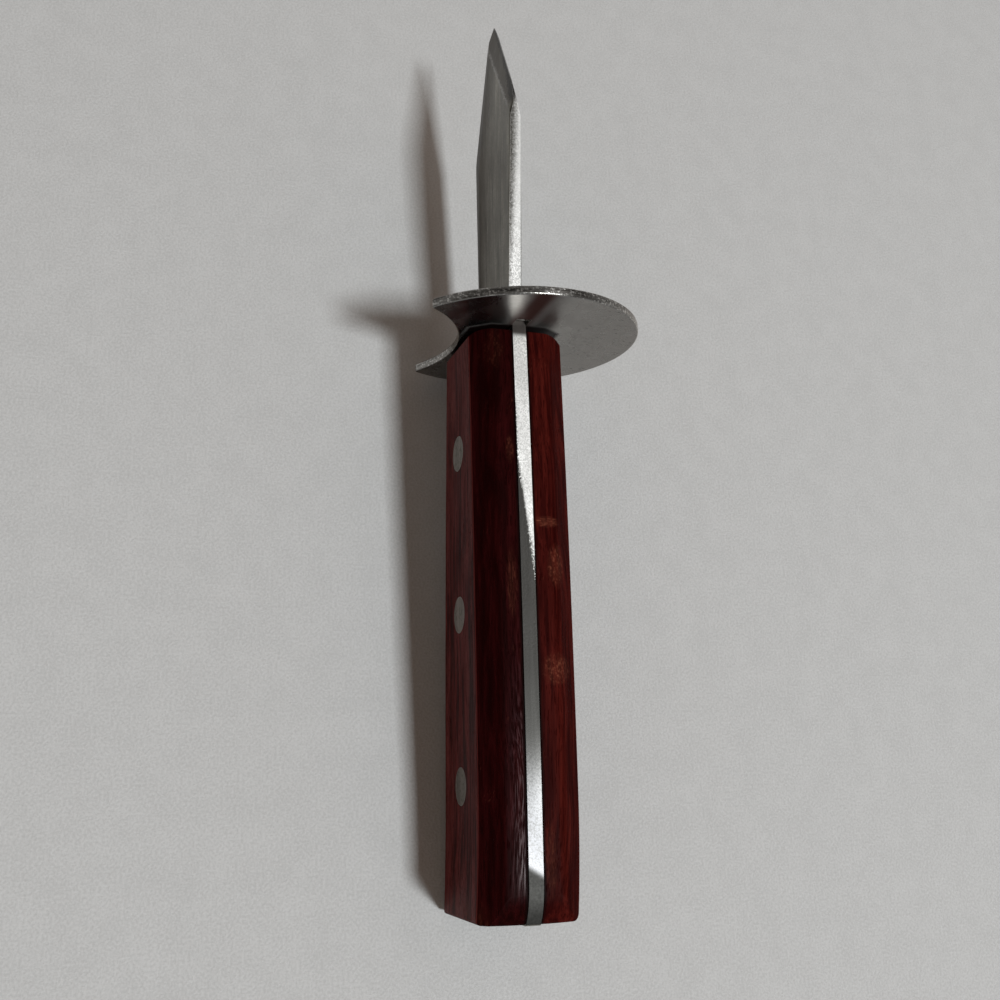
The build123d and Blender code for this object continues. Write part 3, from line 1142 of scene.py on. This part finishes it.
@dataclass(frozen=True)
class OiledWood:
    """Red-brown hardwood: polished slopes with a painted sheen, sides painted lighter than
    the slopes, scuffs and worn ends.
    """

    title: str
    slopes: WoodTones
    # The sides' tones are painted lighter than the slopes', for how the light falls.
    sides: WoodTones
    rubs: tuple[Rub, ...]
    scuffed: Colour = (0.2, 0.06, 0.035)
    seam: Colour = (0.004, 0.0008, 0.0008)
    polish: Colour = (0.09, 0.022, 0.03)
    seam_across: Span = (2.0, 1.5)
    polish_start: float = 1.6
    polish_reach: Span = (1.2, 3.7)
    polish_widens: Span = (-34.0, -80.0)
    polish_left: Span = (1.5, 1.9)
    polish_grows: Span = (-40.0, -88.0)
    polish_stops: Span = (-100.0, -94.0)
    polish_fibres: Span = (0.42, 0.64)
    relief_depth: float = 0.00005

    def grain(self, on: KnifeSurface, tones: WoodTones) -> Any:
        """Places the grain.

        Args:
            on: the surface.
            tones: the grain's tones.

        Returns:
            The sockets of the grain's outputs, by name.
        """
        return on.effects.grain.place(
            on, place=on.place, dark=tones.dark, middle=tones.middle, light=tones.light
        )

    def polished(self, on: KnifeSurface, fibres: Socket) -> Socket:
        """Where hands have polished the wood beside the tang, towards the butt, which also
        gets a painted sheen.

        Args:
            on: the surface.
            fibres: the grain's fibres, which break the polish up.

        Returns:
            A mask, 1 where the wood is polished.
        """
        along, aside, _ = on.parts(on.place)
        reach = on.lerp(on.between(along, *self.polish_widens), *self.polish_reach)
        away = on.calc("DIVIDE", on.calc("SUBTRACT", aside, self.polish_start), reach)
        return on.times(
            on.between(on.calc("SUBTRACT", 1.0, away), -0.05, 1.0),
            on.between(aside, *self.polish_left),
            on.between(along, *self.polish_grows),
            on.between(along, *self.polish_stops),
            on.between(fibres, *self.polish_fibres),
        )

    def rubbed(self, on: KnifeSurface) -> Socket:
        """Gathers the rubbed patches.

        Args:
            on: the surface.

        Returns:
            A mask, 1 where the wood is rubbed pale.
        """
        total: Any = 0.0
        for rub in self.rubs:
            patch = on.effects.rubbed.place(
                on, place=on.place, centre=rub.centre, reach=rub.reach, stretch=rub.stretch
            )["Rubbed"]
            total = on.calc("MAXIMUM", total, on.times(patch, rub.strength))
        return total

    def material(self, effects: Effects) -> bpy.types.Material:
        """Builds the material.

        Args:
            effects: the effects that it draws on.

        Returns:
            The finished material.
        """
        on = KnifeSurface(self.title, effects)
        _, aside, _ = on.parts(on.place)
        turned = on.calc("ABSOLUTE", on.parts(on.facing)[1])
        on_side = on.between(turned, 0.9, 0.98)
        crease = on.times(on.between(turned, 0.63, 0.72), on.between(turned, 0.99, 0.92))
        slopes = self.grain(on, self.slopes)
        sides = self.grain(on, self.sides)
        marks = on.marks((0.0, 0.0, 0.3), (2.2, 0.13, 0.13), patch=4.0, cover=0.33)
        polish = self.polished(on, slopes["Fibres"])
        # The sides take lighter tones than the slopes of the same wood: painted light, for
        # how the light falls on each face.
        colour = on.blend(on_side, slopes["Colour"], sides["Colour"])
        colour = on.lay(colour, self.sides.light, crease, 0.5)
        # A purplish tint on the polished strip: partly real polish, partly a painted sheen.
        colour = on.lay(colour, self.polish, polish, 0.35)
        colour = on.lay(colour, self.scuffed, marks, 0.25)
        colour = on.blend(self.rubbed(on), colour, self.scuffed)
        by_seam = on.between(on.calc("ABSOLUTE", aside), *self.seam_across)
        rough = on.lerp(on.clouds((16.0, 4.0, 4.0)), 0.36, 0.5)
        gloss = on.times(on.calc("POWER", polish, 2.5), 0.8)
        return on.shaded(
            {
                "Base Color": on.lay(colour, self.seam, by_seam, 0.85),
                "Roughness": on.lerp(slopes["Pores"], rough, 0.7),
                "Specular IOR Level": 0.015,
                "Coat Roughness": 0.24,
                "Coat Weight": on.lerp(on_side, gloss, 0.05),
                "Normal": on.relief(slopes["Height"], self.relief_depth),
            }
        )


@dataclass(frozen=True)
class Bedding:
    """The dark line of glue between the tang and the wood."""

    title: str = "bedding"
    dark: Colour = (0.003, 0.0015, 0.0015)
    light: Colour = (0.012, 0.005, 0.004)
    relief_depth: float = 0.00003

    def material(self, effects: Effects) -> bpy.types.Material:
        """Builds the material.

        Args:
            effects: the effects that it draws on.

        Returns:
            The finished material.
        """
        on = KnifeSurface(self.title, effects)
        clouds = on.clouds((1.5, 0.5, 0.5))
        return on.shaded(
            {
                "Base Color": on.blend(clouds, self.dark, self.light),
                "Roughness": on.lerp(clouds, 0.6, 0.9),
                "Normal": on.relief(clouds, self.relief_depth),
            }
        )


@dataclass(frozen=True)
class RivetMetal:
    """Soft grey metal, ground flush across the wood."""

    title: str = "rivet_metal"
    dark: Colour = (0.06, 0.05, 0.039)
    light: Colour = (0.25, 0.213, 0.178)
    spotted: Colour = (0.06, 0.058, 0.05)
    edge: Colour = (0.33, 0.29, 0.26)
    relief_depth: float = 0.00001

    def material(self, effects: Effects) -> bpy.types.Material:
        """Builds the material.

        Args:
            effects: the effects that it draws on.

        Returns:
            The finished material.
        """
        on = KnifeSurface(self.title, effects)
        lines = on.lines((16.0, 0.8, 0.7))
        spots = on.speckle(0.5, 0.3)["Spots"]
        colour = on.lay(on.blend(lines, self.dark, self.light), self.spotted, spots, 0.4)
        return on.shaded(
            {
                "Base Color": on.lay(colour, self.edge, on.worn(0.6, 0.2), 0.45),
                "Metallic": 1.0,
                "Roughness": on.lerp(spots, 0.34, 0.5),
                "Normal": on.relief(lines, self.relief_depth),
            }
        )


@dataclass(frozen=True)
class SheetPaper:
    """The pale sheet: faintly mottled, with a fine tooth. Sizes are metres."""

    title: str = "pale_sheet"
    light: Colour = (0.485, 0.492, 0.5)
    shade: Colour = (0.42, 0.426, 0.432)
    tooth_size: float = 0.00045
    cloud_size: float = 0.006
    tooth_depth: float = 0.00012

    def material(self) -> bpy.types.Material:
        """Builds the material.

        Returns:
            The finished material.
        """
        on = Surface(self.title)
        place = on.node("ShaderNodeTexCoord").outputs["Object"]
        tooth = on.noise(on.spread(place, (self.tooth_size,) * 3), 3.0, 0.6)
        clouds = on.noise(on.spread(place, (self.cloud_size,) * 3), 4.0, 0.6)
        tone = on.between(on.lerp(0.22, tooth, clouds), 0.36, 0.64)
        return on.shaded(
            {
                "Base Color": on.blend(tone, self.shade, self.light),
                "Roughness": 0.9,
                "Specular IOR Level": 0.2,
                "Normal": on.relief(tooth, self.tooth_depth),
            }
        )


def dress(node: str, material: bpy.types.Material) -> None:
    """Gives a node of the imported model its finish, in every slot.

    Args:
        node: the node's name.
        material: the finish.
    """
    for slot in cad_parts[node].material_slots:
        slot.link = "OBJECT"
        slot.material = material
    LOG.info("%s: dressed as %s", node, material.name)


def hang(title: str, data: Any) -> bpy.types.Object:
    """Puts a new object into the scene.

    Args:
        title: the object's name.
        data: its mesh, lamp or camera.

    Returns:
        The object.
    """
    made = bpy.data.objects.new(title, data)
    bpy.context.scene.collection.objects.link(made)
    return made


@dataclass
class Blade:
    """The blade and tang, one piece of steel."""

    effects: Effects

    def build(self) -> None:
        """Dresses the blade."""
        dress("blade_and_tang", BladeSteel().material(self.effects))


@dataclass
class Guard:
    """The round guard plate with its thumb notch."""

    effects: Effects

    def build(self) -> None:
        """Dresses the plate."""
        dress("guard_plate", GuardSteel().material(self.effects))


@dataclass
class Handle:
    """Two wooden scales, their bedding and the six rivet halves."""

    effects: Effects
    rivets: tuple[str, ...] = ("front", "middle", "rear")
    left: OiledWood = OiledWood(
        "left_wood",
        slopes=WoodTones(
            (0.0065, 0.0004, 0.0004), (0.011, 0.0007, 0.0008), (0.021, 0.002, 0.0022)
        ),
        sides=WoodTones((0.022, 0.003, 0.003), (0.076, 0.011, 0.01), (0.13, 0.027, 0.025)),
        rubs=(
            Rub((-5.0, 4.8, 9.0), (4.5, 2.2, 30.0), (0.5, 0.35, 0.35), 0.12),
            Rub((-23.5, 2.6, 9.0), (3.0, 0.9, 30.0), (0.5, 0.25, 0.25), 0.3),
            Rub((-47.0, 2.9, 9.0), (7.0, 1.2, 30.0), (1.3, 0.22, 0.22), 0.28),
            Rub((-102.0, 8.6, 0.0), (6.0, 2.6, 16.0), (1.4, 0.3, 0.3), 0.25),
        ),
    )
    right: OiledWood = OiledWood(
        "right_wood",
        slopes=WoodTones(
            (0.016, 0.0011, 0.0009), (0.033, 0.003, 0.0022), (0.058, 0.0066, 0.0045)
        ),
        sides=WoodTones((0.03, 0.005, 0.003), (0.07, 0.014, 0.008), (0.12, 0.03, 0.016)),
        rubs=(
            Rub((-36.2, -3.6, 9.0), (1.2, 2.8, 30.0), (0.22, 0.8, 0.8), 0.75),
            Rub((-43.9, -5.2, 9.0), (4.4, 2.0, 30.0), (0.5, 0.35, 0.35), 0.6),
            Rub((-61.5, -4.7, 9.0), (3.2, 3.2, 30.0), (0.4, 0.3, 0.3), 0.6),
            Rub((-92.0, -2.6, 9.0), (7.0, 1.2, 30.0), (1.0, 0.25, 0.25), 0.3),
        ),
    )

    def build(self) -> None:
        """Dresses the scales, the bedding and the rivets."""
        dress("left_scale", self.left.material(self.effects))
        dress("right_scale", self.right.material(self.effects))
        film = Bedding().material(self.effects)
        metal = RivetMetal().material(self.effects)
        for side in ("left", "right"):
            dress(f"{side}_bedding_film", film)
        for rivet in self.rivets:
            dress(f"{rivet}_rivet_tube_half", metal)
            dress(f"{rivet}_rivet_pin_half", metal)


@dataclass
class Sheet:
    """The pale sheet under the knife, which turns up into a backdrop far out."""

    flat_radius: float = 0.9
    flat_shares: tuple[float, ...] = (0.15, 0.4, 0.7, 1.0)
    cove_radius: float = 0.5
    wall_height: float = 0.9
    turns: int = 96
    steps: int = 10

    def outline(self) -> list[Span]:
        """Works out the sheet's section.

        Returns:
            Radius and height of each ring, from the middle out.
        """
        rings = [(self.flat_radius * share, 0.0) for share in self.flat_shares]
        for step in range(1, self.steps + 1):
            angle = math.pi / 2 * step / self.steps
            out, up = math.sin(angle), 1 - math.cos(angle)
            rings.append(
                (self.flat_radius + self.cove_radius * out, self.cove_radius * up)
            )
        rings.append((self.flat_radius + self.cove_radius, self.wall_height))
        return rings

    def build(self) -> None:
        """Builds and dresses the sheet."""
        points = [ORIGIN]
        faces: list[tuple[int, ...]] = []
        for ring, (radius, height) in enumerate(self.outline()):
            first = len(points)
            for turn in range(self.turns):
                angle = math.tau * turn / self.turns
                points.append((radius * math.cos(angle), radius * math.sin(angle), height))
            for turn in range(self.turns):
                here, there = first + turn, first + (turn + 1) % self.turns
                if ring:
                    faces.append((here - self.turns, here, there, there - self.turns))
                else:
                    faces.append((0, here, there))
        mesh = bpy.data.meshes.new("pale_sheet")
        mesh.from_pydata(points, [], faces)
        mesh.polygons.foreach_set("use_smooth", [True] * len(faces))
        mesh.materials.append(SheetPaper().material())
        hang("pale_sheet", mesh)
        LOG.info("pale_sheet: built")


@dataclass(frozen=True)
class Lamp:
    """One soft oblong lamp that looks at the middle of the knife."""

    title: str
    towards: Triple
    distance: float
    length: float
    width: float
    power: float
    colour: Colour

    def build(self) -> None:
        """Hangs the lamp with its length along the knife."""
        data = bpy.data.lights.new(self.title, "AREA")
        data.shape = "RECTANGLE"
        data.size = self.length
        data.size_y = self.width
        data.energy = self.power
        data.color = self.colour
        away = Vector(self.towards).normalized()
        along = (Vector((1.0, 0.0, 0.0)) - away * away.x).normalized()
        axes = Matrix((along, away.cross(along), away)).transposed()
        lamp = hang(self.title, data)
        lamp.location = away * self.distance
        lamp.rotation_euler = axes.to_euler()
        LOG.info("%s: hung", self.title)


@dataclass
class Studio:
    """Plain soft light: a dim warm room, a key lamp and a ceiling panel."""

    room: float = 0.205
    room_colour: Colour = (1.0, 0.65, 0.42)
    mirrored_colour: Colour = (0.75, 0.72, 0.68)
    lamps: tuple[Lamp, ...] = (
        Lamp("key_lamp", (-0.42, -0.235, 1.0), 2.0, 0.28, 0.28, 34.5, (0.965, 1.0, 1.0)),
        Lamp("ceiling_panel", (0.2, -0.35, 0.9), 1.3, 0.9, 0.4, 0.95, (1.0, 1.0, 1.0)),
    )

    def build(self) -> None:
        """Sets the room's light and hangs the lamps."""
        world = bpy.data.worlds.new("studio")
        world.use_nodes = True
        wiring = Wiring(world.node_tree)
        backdrop = world.node_tree.nodes["Background"].inputs
        glossy = wiring.node("ShaderNodeLightPath").outputs["Is Glossy Ray"]
        seen = wiring.blend(glossy, self.room_colour, self.mirrored_colour)
        wiring.feed(backdrop["Color"], seen)
        wiring.feed(backdrop["Strength"], self.room)
        bpy.context.scene.world = world
        for lamp in self.lamps:
            lamp.build()
        bpy.context.scene.view_settings.view_transform = "Standard"


@dataclass
class PhotoCamera:
    """The camera where the photograph was taken from."""

    place: Triple = (-0.08283676, 0.0712835, 0.21310824)
    turned: Triple = (20.0050, -17.9372, -93.0308)
    lens: float = 43.0098
    sensor_width: float = 36.0
    clip_start: float = 0.01

    def build(self) -> None:
        """Sets up the camera."""
        data = bpy.data.cameras.new("photo_camera")
        data.sensor_width = self.sensor_width
        data.lens = self.lens
        data.clip_start = self.clip_start
        camera = hang("photo_camera", data)
        camera.location = self.place
        camera.rotation_euler = Euler([math.radians(angle) for angle in self.turned])
        bpy.context.scene.camera = camera
        LOG.info("photo_camera: placed")


def main() -> None:
    """Builds the knife's pieces, the studio and the camera, in that order."""
    logging.basicConfig(level=logging.INFO)
    effects = Effects()
    for piece in (Blade(effects), Guard(effects), Handle(effects)):
        piece.build()
    for staged in (Sheet(), Studio(), PhotoCamera()):
        staged.build()


if __name__ == "__main__":
    main()
